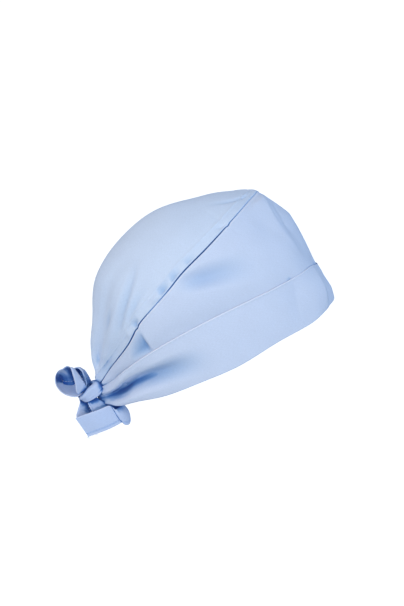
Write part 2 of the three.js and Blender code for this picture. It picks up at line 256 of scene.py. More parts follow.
BROW_FOLDS = {              # these run from the cuff on into the side panel
    "right brow ridge": fold((8.2, 1.3), (7.9, -0.3), (14, 14), 6, sharp=0.95, skew=2.6),
    "left brow ridge": fold((9.8, 1.3), (10.1, -0.3), (36, 36), 6, sharp=0.95, skew=0.38),
    "right brow flat": fold((7.3, 1.6), (7.1, -0.6), (34, 34), -2),
    "brow crease": fold((9, 1.5), (9, -0.5), (15, 15), 0.4, sharp=0.9),
}
CUFF_FOLDS = {
    **BROW_FOLDS,
    "brow turn": fold((7.5, 0.3), (10.5, 0.3), (12, 12), 1.4, sharp=0.9),
    "right pocket": fold((-0.4, 0.36), (3.95, 0.4), (2.2, 6.5), -10,
                         arch=0.2, peak=0.42, sharp=0.7, skew=2.8),
    "right bowl": fold((1.2, 0.46), (4.6, 0.34), (6, 17), -5.5, arch=0.1, shade=0.2),
    "right roll": fold((-0.3, 0.48), (3.3, 0.88), (3, 6.5), 3.5, arch=0.16, peak=0.35, lean=0.6),
    "right rim roll": fold((0.2, 0.1), (3.4, 0.06), (3.5, 9), 2.5, peak=0.3),
    "left pocket": fold((17.6, 0.33), (14.4, 0.38), (3, 12), -7,
                        arch=0.16, peak=0.4, sharp=0.6, skew=0.6),
    "left bowl": fold((16, 0.46), (13.6, 0.3), (7, 15), -6, arch=0.08, peak=0.4, shade=0.12),
    "left roll": fold((17.9, 0.5), (14.8, 0.86), (3.5, 6.5), 3, arch=0.12, peak=0.35, lean=0.5),
}
print("folds in the cuff:", len(CUFF_FOLDS))

# %% [markdown]
# ## Folds of the side panel
#
# The brow's ridges run on from the cuff into the side panel, where they meet at the peak. A dent
# at each temple bridges the hollow of the head, and behind it the cloth is drawn to the knot.

# %% The folds of the side panel
SIDE_FOLDS = {
    **BROW_FOLDS,
    "right temple dent": fold((4.75, 1.9), (6.6, 1.38), (8, 20), -7,
                              arch=-0.03, peak=0.35, sharp=0.3, shade=0.1),
    "right temple pucker": fold((4.9, 2.0), (5.4, 1.8), (4, 7), -1.6, peak=0.4, sharp=0.5),
    "right rear hollow": fold((3.4, 2.02), (2.98, 0.86), (2.5, 3.5), -4,
                              peak=0.6, sharp=0.6, skew=7, shade=0.32),
    "right peak ridge": fold((9, 2.08), (7.68, 1.3), (15, 17), 5.5,
                             arch=0.18, peak=0.4, sharp=0.9, skew=2.6),
    "left peak ridge": fold((9, 2.08), (10.32, 1.3), (39, 44), 5.5,
                            arch=0.18, peak=0.4, sharp=0.9, skew=0.38),
    "right brow fall": fold((7.6, 1.75), (8.0, 0.95), (15, 15), 3.2, sharp=0.85, skew=2.4),
    "left brow fall": fold((10.4, 1.75), (10.0, 0.95), (36, 36), 3.2, sharp=0.85, skew=0.42),
    "forehead bend": fold((7.3, 1.6), (10.7, 1.6), (36, 36), 8, sharp=0.9, skew=1.5),
    "left temple dent": fold((13.2, 1.9), (11.6, 1.4), (10, 22), -5, peak=0.4, shade=0.07),
    "left rear hollow": fold((14.6, 2), (15, 0.86), (10, 20), -4,
                             peak=0.7, sharp=0.4, skew=0.3, shade=0.12),
}
print("folds in the side panel:", len(SIDE_FOLDS))

# %% [markdown]
# ## Folds of the crown
#
# Long soft gathers fan out from the knot, fine creases cross them, and short puckers stand at the
# seam where it was sewn with a little too much cloth.

# %% The folds of the crown
CROWN_FOLDS = {
    "right gather": fold((0.1, 0.38), (5.2, 0.33), (3, 13), -3),
    "back ridge": fold((0.1, 0.48), (4.4, 0.46), (3, 12), 2.4),
    "right ridge": fold((0.1, 0.26), (4.8, 0.22), (3, 12), 1.8, peak=0.55),
    "right seam gather": fold((0.1, 0.14), (4.0, 0.08), (3, 9), -1.2),
    "left gather": fold((0.1, 0.6), (4.8, 0.66), (3, 13), -3.5, peak=0.45),
    "left ridge": fold((0.1, 0.74), (4.6, 0.77), (3, 12), 2.8),
    "left seam gather": fold((0.1, 0.87), (4.2, 0.92), (3, 9), -2.4),
    "long crease": fold((4.9, 0.29), (2.7, 0.18), (4, 6), -3,
                        arch=-0.05, sharp=0.8, skew=1.6, shade=0.07),
    "long crease ridge": fold((4.8, 0.25), (2.7, 0.13), (5, 5), 1.8, arch=-0.05),
    "short crease": fold((3.6, 0.27), (2.8, 0.32), (5, 4), -2, sharp=0.7, shade=0.06),
    "fine crease": fold((4.5, 0.14), (3.2, 0.11), (3, 4), -1.3, sharp=0.8, skew=1.6, shade=0.04),
    "nape crease": fold((2.4, 0.43), (0.9, 0.38), (4, 3), -2, sharp=0.6),
    "top crease": fold((6.7, 0.33), (8.6, 0.1), (5, 5), -1.6, sharp=0.7, shade=0.05),
    "far top crease": fold((6.2, 0.64), (8.5, 0.86), (6, 6), -1.5, sharp=0.6),
    "left long crease": fold((4.6, 0.7), (2.6, 0.8), (6, 6), -2.5, sharp=0.6),
    "upper pucker": fold((4.86, 0), (5.02, 0.085), (2.5, 3.5), -2.2,
                         peak=0.4, sharp=0.6, skew=3, shade=0.12),
    "middle pucker": fold((4.46, 0), (4.6, 0.09), (2.5, 4), -2.8,
                          peak=0.4, sharp=0.6, skew=3, shade=0.15),
    "middle puff": fold((4.25, 0), (4.34, 0.07), (8, 8), 1.6),
    "lower pucker": fold((3.46, 0), (3.4, 0.1), (2.5, 3.5), -2.2,
                         peak=0.4, sharp=0.6, skew=2.5, shade=0.14),
    "lower puff": fold((3.15, 0), (3.05, 0.12), (6, 6), 1.2),
    "upper dimple": fold((5.38, 0), (5.5, 0.08), (2.5, 3.5), -1.3,
                         peak=0.4, sharp=0.6, skew=3, shade=0.07),
    "brow pucker": fold((6.7, 0), (6.5, 0.09), (5, 5), -1.5, sharp=0.3),
    "left pucker": fold((4.5, 1), (4.66, 0.91), (3, 4), -1.8, peak=0.4, sharp=0.6, skew=0.4),
}
print("folds in the crown:", len(CROWN_FOLDS))

# %% [markdown]
# ## From a table to folds
#
# A point of the cloth moves out or in by how near it lies to each fold's line. The nearness is
# measured in space, so a fold keeps its width where the sections lie closer together.

# %% Fold a surface
CREST_ROUND = 0.8 * MM      # how gently even a pressed crease turns


def fold_share(surface, span, u, v, flat, row):
    """How strongly one fold acts on each point of a grid, from 0 to 1."""
    scale, peak, sharp = np.array((SECTION_SPAN, span)), row["peak"], row["sharp"]
    run = (np.array(row["end"]) - row["start"]) * scale
    share = np.clip((np.stack([u, v], -1) - row["start"]) * scale @ run / (run @ run), 0, 1)
    centre_u, centre_v = (np.interp(share, (0, 1), ends) for ends in zip(row["start"], row["end"]))
    centre_v += row["arch"] * bow(share)
    flank = (u - centre_u) * SECTION_SPAN * -run[1] + (v - centre_v) * span * run[0]
    width = np.interp(share, (0, 1), row["width"]) * MM * np.where(flank < 0, row["skew"], 1)
    apart = np.linalg.norm(flat - surface(centre_u, centre_v), axis=-1)
    near = np.clip(1 - (np.hypot(apart, CREST_ROUND) - CREST_ROUND) / width, 0, 1)
    rise = smooth(np.where(share < peak, share / peak, (1 - share) / (1 - peak)))
    return rise * ((1 - sharp) * smooth(near) + sharp * near)


def folded(surface, span, u, v, folds, free=1.0):
    """The surface with all its folds, its normals and how much shade the folds hold. `free` is 0
    where the cloth is sewn down, so that no fold pulls it away."""
    flat = surface(u, v)
    along, up = slopes(surface, u, v)
    normal, down = unit(np.cross(along, up)), -unit(up)
    lift, shade = np.zeros_like(flat), np.zeros(u.shape)
    for row in folds.values():
        share = fold_share(surface, span, u, v, flat, row)
        lift += (row["depth"] * MM * share)[..., None] * (normal + row["lean"] * down)
        shade = np.maximum(shade, row["shade"] * share)
    return flat + lift * np.asarray(free)[..., None], normal, shade


middle_fold = fold_share(crown_surface, CROWN_SPAN, np.array([2.65]), np.array([0.355]),
                         crown_surface(np.array([2.65]), np.array([0.355])), CROWN_FOLDS["right gather"])
print("halfway along the right gather, the fold acts with a share of", middle_fold.round(2))

# %% [markdown]
# ## Ease
#
# No cloth is as even as a formula. A few long, shallow waves with random directions keep the
# panels from looking moulded. The random numbers come from a seed, so every run is the same.

# %% Soft waves in the cloth
WAVES = (1, 0.8, 0.62, 0.5, 0.4, 0.31)      # the length and the height of each, as shares of the first
WAVES_TOGETHER = 3          # about how far all of them add up


def soft_waves(x, y, height, longest, seed):
    """Waves over the cloth's own plane, x and y in metres."""
    chance = np.random.default_rng(seed)
    total = np.zeros(np.broadcast(x, y).shape)
    for share in WAVES:
        turn, phase = chance.uniform(0, 2 * math.pi, 2)
        run = x * math.cos(turn) + y * math.sin(turn)
        total += share * np.sin(2 * math.pi * run / (share * longest) + phase)
    return total * height / WAVES_TOGETHER


print("a wave's height here, mm:", soft_waves(0.01, 0.02, 0.5, 0.07, seed=3).round(3))

# %% [markdown]
# ## The crown seam
#
# Crown and side panel are sewn right sides together and turned. On the outside the seam is a
# fine groove, open where it is pulled and nearly shut where it lies slack. The seam allowance is
# pressed towards the crown, and its edge shows through as a faint ridge 9 mm from the groove. No
# light gets to the bottom of the groove, so shade is painted into the colour of its points. Folds
# end where the panels are sewn, or the two edges would part.

# %% Groove and ridges beside the seam
GROOVE_DEPTH = 1.6 * MM
GROOVE_WIDTH = 0.45 * MM
RIDGE_PLACE = 1.4 * MM      # from the groove to the cloth that rolls into it
RIDGE_WIDTH = 0.9 * MM
ALLOWANCE = 9 * MM
PAINTED_HIGHLIGHT = 0.05                 # strength of a highlight painted on edges that stand up into the light: the opposite of painted shade
seam_pull = by_section((1.5, 1.5, 1.5, 1.4, 0.5, 0.8, 1, 0.5, 0.3, 0.3))


def seam_relief(u, distance, ridge, far_ridge):
    """Height of the cloth beside the seam, from the distance to it."""
    relief = -GROOVE_DEPTH * seam_pull(u) * hump(distance, GROOVE_WIDTH)
    relief += ridge * hump(distance - RIDGE_PLACE, RIDGE_WIDTH)
    return relief + far_ridge * hump(distance - ALLOWANCE, RIDGE_WIDTH)


def seam_painted_shade(u, distance):
    """The shade painted into the groove: a groove that is pulled open is darker and wider."""
    pull = seam_pull(u)
    return pull * hump(distance, (0.6 + 0.4 * pull) * GROOVE_WIDTH)


print("the groove is", GROOVE_DEPTH / MM, "mm deep")

# %% [markdown]
# ## From a grid of points to faces
#
# Each panel is a grid of points, and each face joins four neighbours. The same helper picks out
# the lengths along the cloth at those four corners, for the UV map.

# %% Lengths and faces of a grid
def arc_lengths(points, axis):
    steps = np.linalg.norm(np.diff(points, axis=axis), axis=-1)
    start = np.zeros_like(np.take(steps, [0], axis))
    return np.concatenate([start, np.cumsum(steps, axis)], axis)


def quads(grid):
    """What a grid holds at the four corners of each of its faces."""
    corners = [grid[:-1, :-1], grid[1:, :-1], grid[1:, 1:], grid[:-1, 1:]]
    return np.stack(corners, 2).reshape(-1, 4, *grid.shape[2:])


def end_faces(row, columns):
    """Faces that close the end of a flat tube, each joining its front to its back."""
    half = columns // 2
    faces = [[row + c, row + c + 1, row + columns - c - 1, row + (columns - c) % columns]
             for c in range(half)]
    return [list(dict.fromkeys(face)) for face in faces]


print("a grid of 3 by 4 points has", len(quads(np.zeros((3, 4)))), "faces")

# %% [markdown]
# ## From faces to an object
#
# The UV map holds the cloth's own lengths in metres, which lets the weave keep its true thread
# size. A Solidify modifier gives the single layer its thickness and stays live, so it can still
# be changed in Blender.

# %% A mesh and its object
def add_object(name, data):
    thing = bpy.data.objects.new(name, data)
    bpy.context.scene.collection.objects.link(thing)
    return thing


def grid_mesh(name, points, closed=False, painted_shading=None, end=False):
    """A mesh of quads over a grid of points. A closed one joins its last column to its first,
    and `end` closes off its last row."""
    rows, columns = points.shape[:2]
    corner = np.arange(rows * columns).reshape(rows, columns)
    around, across = arc_lengths(points, 0), arc_lengths(points, 1)
    if closed:
        width = np.linalg.norm(points[:, :1] - points[:, -1:], axis=-1)
        corner, around = (np.concatenate([grid, grid[:, :1]], 1) for grid in (corner, around))
        across = np.concatenate([across, across[:, -1:] + width], 1)
    ends = end_faces((rows - 1) * columns, columns) if end else []
    mesh = bpy.data.meshes.new(name)
    mesh.from_pydata(points.reshape(-1, 3).tolist(), [], quads(corner).tolist() + ends)
    places = quads(np.stack([around, across], -1)).reshape(-1, 2)
    places = np.concatenate([places, np.zeros((sum(len(face) for face in ends), 2))])
    mesh.uv_layers.new(name="cloth").uv.foreach_set("vector", places.astype(np.float32).ravel())
    # each vertex stores how much shade is painted into its colour, or a highlight where it is below zero
    shading_layer = mesh.attributes.new("painted_shading", "FLOAT", "POINT")
    if painted_shading is not None:
        shading_layer.data.foreach_set("value", painted_shading.astype(np.float32).ravel())
    mesh.shade_smooth()
    piece = add_object(name, mesh)
    piece["rows"] = rows
    return piece


def thicken(piece, thickness):
    """Cloth is one layer: the modifier adds the back and closes the edges."""
    solid = piece.modifiers.new("thickness", "SOLIDIFY")
    solid.thickness = thickness
    solid.offset = -1
    solid.use_quality_normals = True
    return piece


print("ready to make the panels")

# %% [markdown]
# ## The crown
#
# The crown is one teardrop of cloth. Its grid is finest beside the seams, where the groove needs
# steps of a fifth of a millimetre, and coarser over the top. The distance to the seam is measured
# along each row of the cloth, so the groove stays equally wide all the way.

# %% Model the crown
CROWN_END = LAST - 0.015    # the last row stops just short of the point of the teardrop
CROWN_GRID = (262, 186)     # rows from knot to peak, points in each
CROWN_HELD = 3 * MM         # how near the seam the folds of the crown end
CROWN_CALM = 12 * MM        # how near the seam its soft waves fade out


def edge_spacing(count, edge, finest):
    """Places from 0 to 1, closer together at both ends."""
    t = np.linspace(0, 1, count)
    density = finest + (1 - finest) * smooth(np.minimum(t, 1 - t) / edge)
    places = np.concatenate([[0], np.cumsum((density[1:] + density[:-1]) / 2)])
    return places / places[-1]


def crown_lengths(u):
    """Shares across the crown, and the length of cloth up to each, for every row of a grid."""
    rows, shares = np.broadcast_arrays(u[:, :1], np.linspace(0, 1, 161))
    return shares[0], arc_lengths(crown_surface(rows, shares), 1)


def crown_cloth_at(u, across):
    """The crown's points, its normals and the shade painted on it."""
    shares, lengths = crown_lengths(u)
    run = np.array([np.interp(row, shares, length) for row, length in zip(across, lengths)])
    distance = np.minimum(run, lengths[:, -1:] - run)
    free = smooth(distance / CROWN_HELD)
    points, normal, shade = folded(crown_surface, CROWN_SPAN, u, across, CROWN_FOLDS, free)
    waves = soft_waves(u * SECTION_SPAN, across * CROWN_SPAN, 0.5 * MM, longest=75 * MM, seed=11)
    relief = seam_relief(u, distance, ridge=0.1 * MM, far_ridge=0.6 * MM)
    relief += smooth(distance / CROWN_CALM) * waves
    return points + normal * relief[..., None], normal, np.maximum(shade, seam_painted_shade(u, distance))


def make_crown():
    places = edge_spacing(CROWN_GRID[1], edge=0.2, finest=0.1)
    u, across = np.meshgrid(np.linspace(0, CROWN_END, CROWN_GRID[0]), places, indexing="ij")
    points, normal, painted_shading = crown_cloth_at(u, across)
    return grid_mesh("crown_cloth", points, painted_shading=painted_shading)


crown = thicken(make_crown(), CLOTH)
print("crown faces:", len(crown.data.polygons))

# %% [markdown]
# ## The seam allowances
#
# Inside the cap, the strip of cloth beyond each seam lies pressed against the crown. It follows
# the crown's own folds, one layer further in, and its raw edge frays a little.

# %% Model the allowances
ALLOWANCE_SECTIONS = (0.8, 8.4)         # it ends short of the knot and of the peak
ALLOWANCE_DEPTH = 2 * CLOTH + 0.15 * MM         # behind the crown's face
FRAY = 0.25 * MM
FRAYED_FROM = 0.95 * ALLOWANCE


def make_allowance(name, edge):
    """The strip beyond the seam at one edge of the crown, 0 or 1."""
    rows, distances = np.linspace(*ALLOWANCE_SECTIONS, 200), np.linspace(0.6 * MM, ALLOWANCE, 9)
    u, away = np.meshgrid(rows, distances, indexing="ij")
    shares, lengths = crown_lengths(u)
    across = np.array([np.interp(row, length, shares) for row, length in zip(away, lengths)])
    points, normal, painted_shading = crown_cloth_at(u, np.abs(edge - across))
    frayed = FRAY * np.sin(u * 90) * (away > FRAYED_FROM)
    return grid_mesh(name, points - normal * (ALLOWANCE_DEPTH + frayed)[..., None])


allowances = [thicken(make_allowance(name, edge), -CLOTH)
              for name, edge in (("allowance_right", 0), ("allowance_left", 1))]
print("faces in an allowance:", len(allowances[0].data.polygons))

# %% [markdown]
# ## The side panel
#
# The side panel comes up from inside the cuff and runs to the seam. It lies behind the cuff's
# edge, so the edge stands proud by its own thickness and draws a thin line of shadow on the
# panel, and that shadow is also painted into the panel's colour. Its lower edge is hidden, so the
# panel simply ends a little way down behind the cuff.

# %% Model the side panel
LAP = 0.14                  # share of the cuff's height that the panel runs down behind it
LAP_EASE = 0.5              # share of the panel's height over which it comes out again
BEHIND = 1.02 * MM          # from the cuff's face to the panel, just under the cuff's hem
CUFF_SHADOW = 0.3 * MM      # width of the shadow painted over the cuff's edge
SIDE_HELD = 8 * MM          # how near the seam the folds of the side panel end
SIDE_CALM = dict(seam=10 * MM, cuff=8 * MM)     # how near those its soft waves fade out
SEAM_HIGHLIGHT_PLACE = 1.5 * MM     # from the seam to the middle of a highlight painted on the ridge beside it
SEAM_HIGHLIGHT_WIDTH = 0.6 * MM
ROWS_ROUND = 487            # of the grids of the side and the cuff
side_height = 1 - LAP + (1 + LAP) * edge_spacing(100, edge=0.25, finest=0.14)
# how strongly the shadow over the cuff's edge is painted, section by section
cuff_shade = by_section((0.5, 0.35, 0.1, 0, 0, 0, 0, 0.05, 0.2, 0.4))


def make_side():
    u, height = np.meshgrid(np.linspace(0, ROUND, ROWS_ROUND), side_height, indexing="ij")
    panel = np.linalg.norm(seam_line(u) - cuff_line(u), axis=-1)
    distance, above_cuff = (2 - height) * panel, (height - 1) * panel
    free = smooth(distance / SIDE_HELD)
    points, normal, shade = folded(side_surface, BAND_SPAN, u, height, SIDE_FOLDS, free)
    waves = soft_waves(u * SECTION_SPAN, height * BAND_SPAN, 0.45 * MM, longest=70 * MM, seed=5)
    calm = smooth(distance / SIDE_CALM["seam"]) * smooth(above_cuff / SIDE_CALM["cuff"])
    relief = seam_relief(u, distance, ridge=0.35 * MM, far_ridge=0) + calm * waves
    relief -= BEHIND * (1 - smooth((height - 1) / LAP_EASE))
    # a shadow painted on the panel just above the cuff's edge
    shadow = hump(above_cuff, CUFF_SHADOW) * cuff_shade(u)
    painted_shading = np.maximum(np.maximum(seam_painted_shade(u, distance), shadow), shade)
    # a highlight painted on the ridge where the cloth rolls into the seam
    painted_shading -= PAINTED_HIGHLIGHT * hump(distance - SEAM_HIGHLIGHT_PLACE, SEAM_HIGHLIGHT_WIDTH)
    return grid_mesh("side_cloth", points + normal * relief[..., None], painted_shading=painted_shading)


side = thicken(make_side(), CLOTH)
print("side faces:", len(side.data.polygons))

# %% [markdown]
# ## The cuff
#
# The cuff is a doubled band: a long strip folded lengthwise. Seen end on it is a path that goes
# down the inside, round the rim, up the face, over the top edge and back down as a short hem.
# The path is a table, and sweeping it round the head makes the band. High up the inside stands
# back a little, which leaves room for the side panel between the two layers.

# %% Model the cuff
CUFF_PATH = [               # height as a share of the cuff, depth behind its face in mm, steps
    (0.95, 1.9, 6),
    (0.82, 1.9, 10),
    (0.05, 1.36, 4),
    (0.012, 1.3, 2),
    (0.0, 0.95, 2),
    (-0.003, 0.6, 2),
    (0.0, 0.25, 2),
    (0.012, 0.04, 2),
    (0.04, 0.0, 58),
    (0.965, 0.0, 2),
    (0.988, 0.04, 2),
    (1.0, 0.3, 2),
    (0.99, 0.62, 2),
    (0.96, 0.68, 3),
    (0.84, 0.68, 0),
]
WELT_PLACE = 1.1 * MM       # from the cuff's edge to where its turned-in cloth stands thickest
WELT_HEIGHT = 0.5 * MM
HEM_WIDTH = 0.8 * MM        # of the welt, and of the highlight painted along the edge
HEM_PAINTED_HIGHLIGHT = 1.6 * PAINTED_HIGHLIGHT
CUFF_CALM = 0.2             # share of the cuff at each edge in which its soft waves fade out


def swept_path(path):
    """The height and depth of each column, with the steps that each stretch asks for."""
    return np.concatenate([np.linspace(here[:2], there[:2], here[2], endpoint=False)
                           for here, there in zip(path, path[1:])]).T


cuff_height, cuff_depth = swept_path(CUFF_PATH)


def make_cuff():
    u, height = np.meshgrid(np.linspace(0, ROUND, ROWS_ROUND), cuff_height, indexing="ij")
    points, normal, shade = folded(side_surface, BAND_SPAN, u, height, CUFF_FOLDS)
    from_edge = (1 - height) * BAND_SPAN
    waves = soft_waves(u * SECTION_SPAN, height * BAND_SPAN, 0.35 * MM, longest=60 * MM, seed=23)
    waves *= smooth(np.minimum(height, 1 - height) / CUFF_CALM)
    relief = waves + WELT_HEIGHT * hump(from_edge - WELT_PLACE, HEM_WIDTH) - cuff_depth * MM
    # shade painted into the folds of the face, and a highlight painted along the top edge
    painted_shading = shade * (cuff_depth == 0) - HEM_PAINTED_HIGHLIGHT * hump(from_edge, HEM_WIDTH)
    return grid_mesh("cuff_cloth", points + normal * relief[..., None], painted_shading=painted_shading)


cuff = thicken(make_cuff(), CLOTH)
print("cuff faces:", len(cuff.data.polygons))

# %% [markdown]
# ## The ties
#
# A tie is a tape 19 mm wide, folded and pressed. Each row of its table is a point on its near
# edge, one on its far edge and how far it bulges between them, so it can twist and taper. The bow
# has two loops and two tails.

# %% The ties as pairs of edges, in millimetres
KNOT_CENTRE = np.array((-118.5, 0.0, -37.0))
LOOP_RIGHT = [
    ((-132.5, -8, -36.5), (-123, -5, -32.5), 0),
    ((-134.5, -11.5, -27), (-125, -4.5, -28.5), -1),
    ((-136.5, -13, -19), (-128.5, -1, -23), -1.5),
    ((-138.5, -12, -12), (-133, 3, -18.5), -1.5),
    ((-141, -9, -10.5), (-130.5, 6, -27.5), -2.5),
    ((-145, -5, -13.5), (-133.5, 8, -32), -3),
    ((-149.5, 0, -17.5), (-142, 12, -31.5), -3),
    ((-151, 3, -25), (-141, 16, -29.5), -2.5),
    ((-148.5, 3, -33.5), (-137, 17, -30), -2.5),
    ((-142.5, 0, -39), (-131.5, 15, -30), -2),
    ((-133.5, -4, -41), (-128, 4, -35), 0),
]
LOOP_LEFT = [
    ((-122.5, 1, -35), (-117, 5, -32), 0),
    ((-122, 3, -29.5), (-117, 9, -29.5), 0.6),
    ((-124, 5, -23), (-119, 13, -25), 0.8),
    ((-125.5, 8, -19), (-121, 18, -21.5), 0.5),
    ((-129, 12, -17), (-122.5, 24, -21.5), -1),
    ((-132.5, 14, -18.5), (-122, 27, -25.5), -2),
    ((-131.5, 14, -25.5), (-120, 26, -32), -1.5),
    ((-128, 10, -32.5), (-118.5, 20, -36.5), -1),
    ((-124, 4, -37), (-119.5, 10, -36.5), 0),
]
TAIL_RIGHT = [
    ((-113, -5, -42.5), (-122.5, -6, -45.5), 0),
    ((-106, -7, -47), (-117.5, -9, -55.5), 0.5),
    ((-99.5, -7, -47.5), (-104.5, -11, -62.5), 1),
    ((-95.5, -7, -47), (-90, -11, -61), 2.2),
    ((-92.5, -11.5, -46.5), (-85, -15.5, -62), 2.6),
    ((-95, -18.5, -48.5), (-86.5, -21, -65), 2.4),
    ((-99.5, -22, -50), (-91, -24.5, -64.5), 1.5),
    ((-103, -20.5, -47.5), (-92.5, -22.5, -62.5), 0),
    ((-105.5, -21.5, -46.5), (-94, -24, -62.5), 0.4),
    ((-115, -23, -49.5), (-103.5, -26, -66.5), 0.6),
    ((-126, -22, -53), (-114, -25, -70.5), 0.5),
    ((-136, -19, -57), (-124.5, -22, -74.5), 0),
]
TAIL_LEFT = [
    ((-129, 2, -42), (-118.5, 2, -45.5), 0),
    ((-129, -2, -47), (-120, 3, -50), 0.8),
    ((-132, -5, -54), (-117.5, 4, -56.5), 1.2),
    ((-133.5, -9, -58.5), (-114.5, -3, -61.5), 1),
    ((-123.5, -12, -70.5), (-107, -14, -65.5), 0),
]


print("rows in the ties:", [len(rows) for rows in (LOOP_RIGHT, LOOP_LEFT, TAIL_RIGHT, TAIL_LEFT)])

# %% [markdown]
# ## Curves along the ties
#
# Both edges of a tie and its bulge become curves through their rows. The rows lie close together
# where a loop turns and further apart where it runs straight, so the curves are tight ones. Each
# tie also gets a row inside the knot at an end that runs into it.

# %% Edges as curves
def into_knot(row):
    """A row moved halfway towards the middle of the knot."""
    return *((np.array(edge) + KNOT_CENTRE) / 2 for edge in row[:2]), 0


def tie_curves(rows, both_ends):
    """The near edge, the far edge and the bulge of a tie, run on into the knot."""
    rows = [into_knot(rows[0]), *rows] + ([into_knot(rows[-1])] if both_ends else [])
    near, far, bulge = zip(*rows)
    curves = (spline(np.array(table) * MM, tight=True) for table in (near, far, [[b] for b in bulge]))
    return *curves, len(rows) - 1


near_edge = tie_curves(LOOP_RIGHT, True)[0]
print("the near loop is furthest back at, mm:", (near_edge(8) / MM).round(1))

# %% [markdown]
# ## Tape
#
# Seen end on, a pressed tape is a flat loop: two faces that meet in rounded folds. Its points lie
# closest at both edges, and beside the stitches, where the tape will be drawn together.

# %% The tape seen end on
TIE_WIDTH = 19.5 * MM
STITCH_INSET = 3.0 * MM     # from the tape's far edge to its stitches


def tape_section():
    """Places across the tape and their share of its half thickness, once round."""
    edge = TAPE / 2 / TIE_WIDTH * (1 - np.cos(np.linspace(0, math.pi / 2, 5)))
    stitch = 1 - (STITCH_INSET + np.array((1, 0.5, 0, -0.5, -1)) * MM) / TIE_WIDTH
    face = np.unique(np.concatenate([edge, np.linspace(0.06, 0.82, 12), stitch, 1 - edge]))
    depth = np.minimum(face, 1 - face) * TIE_WIDTH / (TAPE / 2)
    profile = np.sqrt(np.clip(1 - (1 - np.minimum(depth, 1)) ** 2, 0, 1))
    profile += 0.25 * hump(depth - 2, 2)
    profile[[0, -1]] = 0
    return np.concatenate([face, face[-2:0:-1]]), np.concatenate([profile, -profile[-2:0:-1]])


print("points round the tape:", len(tape_section()[0]))

# %% [markdown]
# ## Sweep the tape
#
# One function makes every tie: the flat loop is swept along the tie's curves. A row of stitches
# 3 mm from the open edge draws its two layers together, so the tape is dented there.

# %% Model the ties
TIE_ROW = 9 * MM            # mean length of tape from one row of the table to the next
TIE_STEP = 0.05             # of a row, for measuring directions
STITCH_DENT = 0.22 * MM
DENT_WIDTH = 0.6 * MM
# shade painted into the dent along the stitches
DENT_PAINTED_SHADE = 0.14


def tape_place(curves, t, across):
    """A point of the tie's middle layer and the tie's normal there."""
    near, far, bulge, end = curves
    v = across[..., None]
    along = near(t + TIE_STEP) + far(t + TIE_STEP) - near(t - TIE_STEP) - far(t - TIE_STEP)
    normal = unit(np.cross(along, far(t) - near(t)))
    return near(t) * (1 - v) + far(t) * v + normal * bulge(t) * bow(v), normal


def make_tie(name, rows, both_ends, steps, seed):
    curves = tie_curves(rows, both_ends)
    section, thickness = tape_section()
    t, column = np.meshgrid(np.linspace(0, curves[3], steps), np.arange(len(section)), indexing="ij")
    across, side = section[column], thickness[column]
    middle, normal = tape_place(curves, t, across)
    waves = soft_waves(t * TIE_ROW, across * TIE_WIDTH, 0.25 * MM, longest=26 * MM, seed=seed)
    dent = hump((1 - across) * TIE_WIDTH - STITCH_INSET, DENT_WIDTH)
    rise = waves + side * (TAPE / 2) - np.sign(side) * STITCH_DENT * dent
    # a highlight painted along the tape's folded edges
    edge_highlight = PAINTED_HIGHLIGHT * hump(np.minimum(across, 1 - across) * TIE_WIDTH, 1 * MM)
    piece = grid_mesh(name, middle + normal * rise[..., None], closed=True,
                      painted_shading=DENT_PAINTED_SHADE * dent - edge_highlight, end=not both_ends)
    return piece, curves


tie_plan = {
    "loop_right": dict(rows=LOOP_RIGHT, both_ends=True, steps=150, seed=31),
    "loop_left": dict(rows=LOOP_LEFT, both_ends=True, steps=110, seed=37),
    "tail_right": dict(rows=TAIL_RIGHT, both_ends=False, steps=170, seed=41),
    "tail_left": dict(rows=TAIL_LEFT, both_ends=False, steps=80, seed=43),
}
ties = {name: make_tie(name + "_cloth", **plan) for name, plan in tie_plan.items()}


def tie_length(curves):
    """The length of a tie along its middle."""
    middle = tape_place(curves, np.linspace(0, curves[3], 200), np.full(200, 0.5))[0]
    return arc_lengths(middle, 0)[-1]


for name, (piece, curves) in ties.items():
    print(name, "is", round(tie_length(curves) / MM), "mm long")

# %% [markdown]
# ## The knot
#
# One tie wraps once round the others. The wrap is a short band that goes round the bundle. Its
# path is an ellipse on the way to a box, slanted the way the cloth pulls, and its section is tape
# again, with its edges drawn in and a pleat down its face.

# %% Model the knot
KNOT_ALONG = np.array((0.79, 0, 0.613))
KNOT_ACROSS = np.array((0.0, 1.0, 0.0))
KNOT_AXES = np.stack([KNOT_ALONG, KNOT_ACROSS, np.cross(KNOT_ALONG, KNOT_ACROSS)])
KNOT_HALF = np.array((12.2, 11, 6)) * MM        # half its size along those three axes
KNOT_SLANT = 0.26           # of the wrap's ends, the way the cloth pulls them
KNOT_ROUNDNESS = 2.8        # of the path round the bundle: 2 is an ellipse
WRAP_FLATNESS = 6           # of the band from edge to edge
WRAP_THICKNESS = 0.2        # of the band, as a share of the knot
PLEAT = dict(place=-0.55, width=0.12, depth=0.05)       # across the band, from -1 to 1


def superellipse(x, power):
    return (1 - np.clip(np.abs(x), 0, 1) ** power) ** (1 / power)


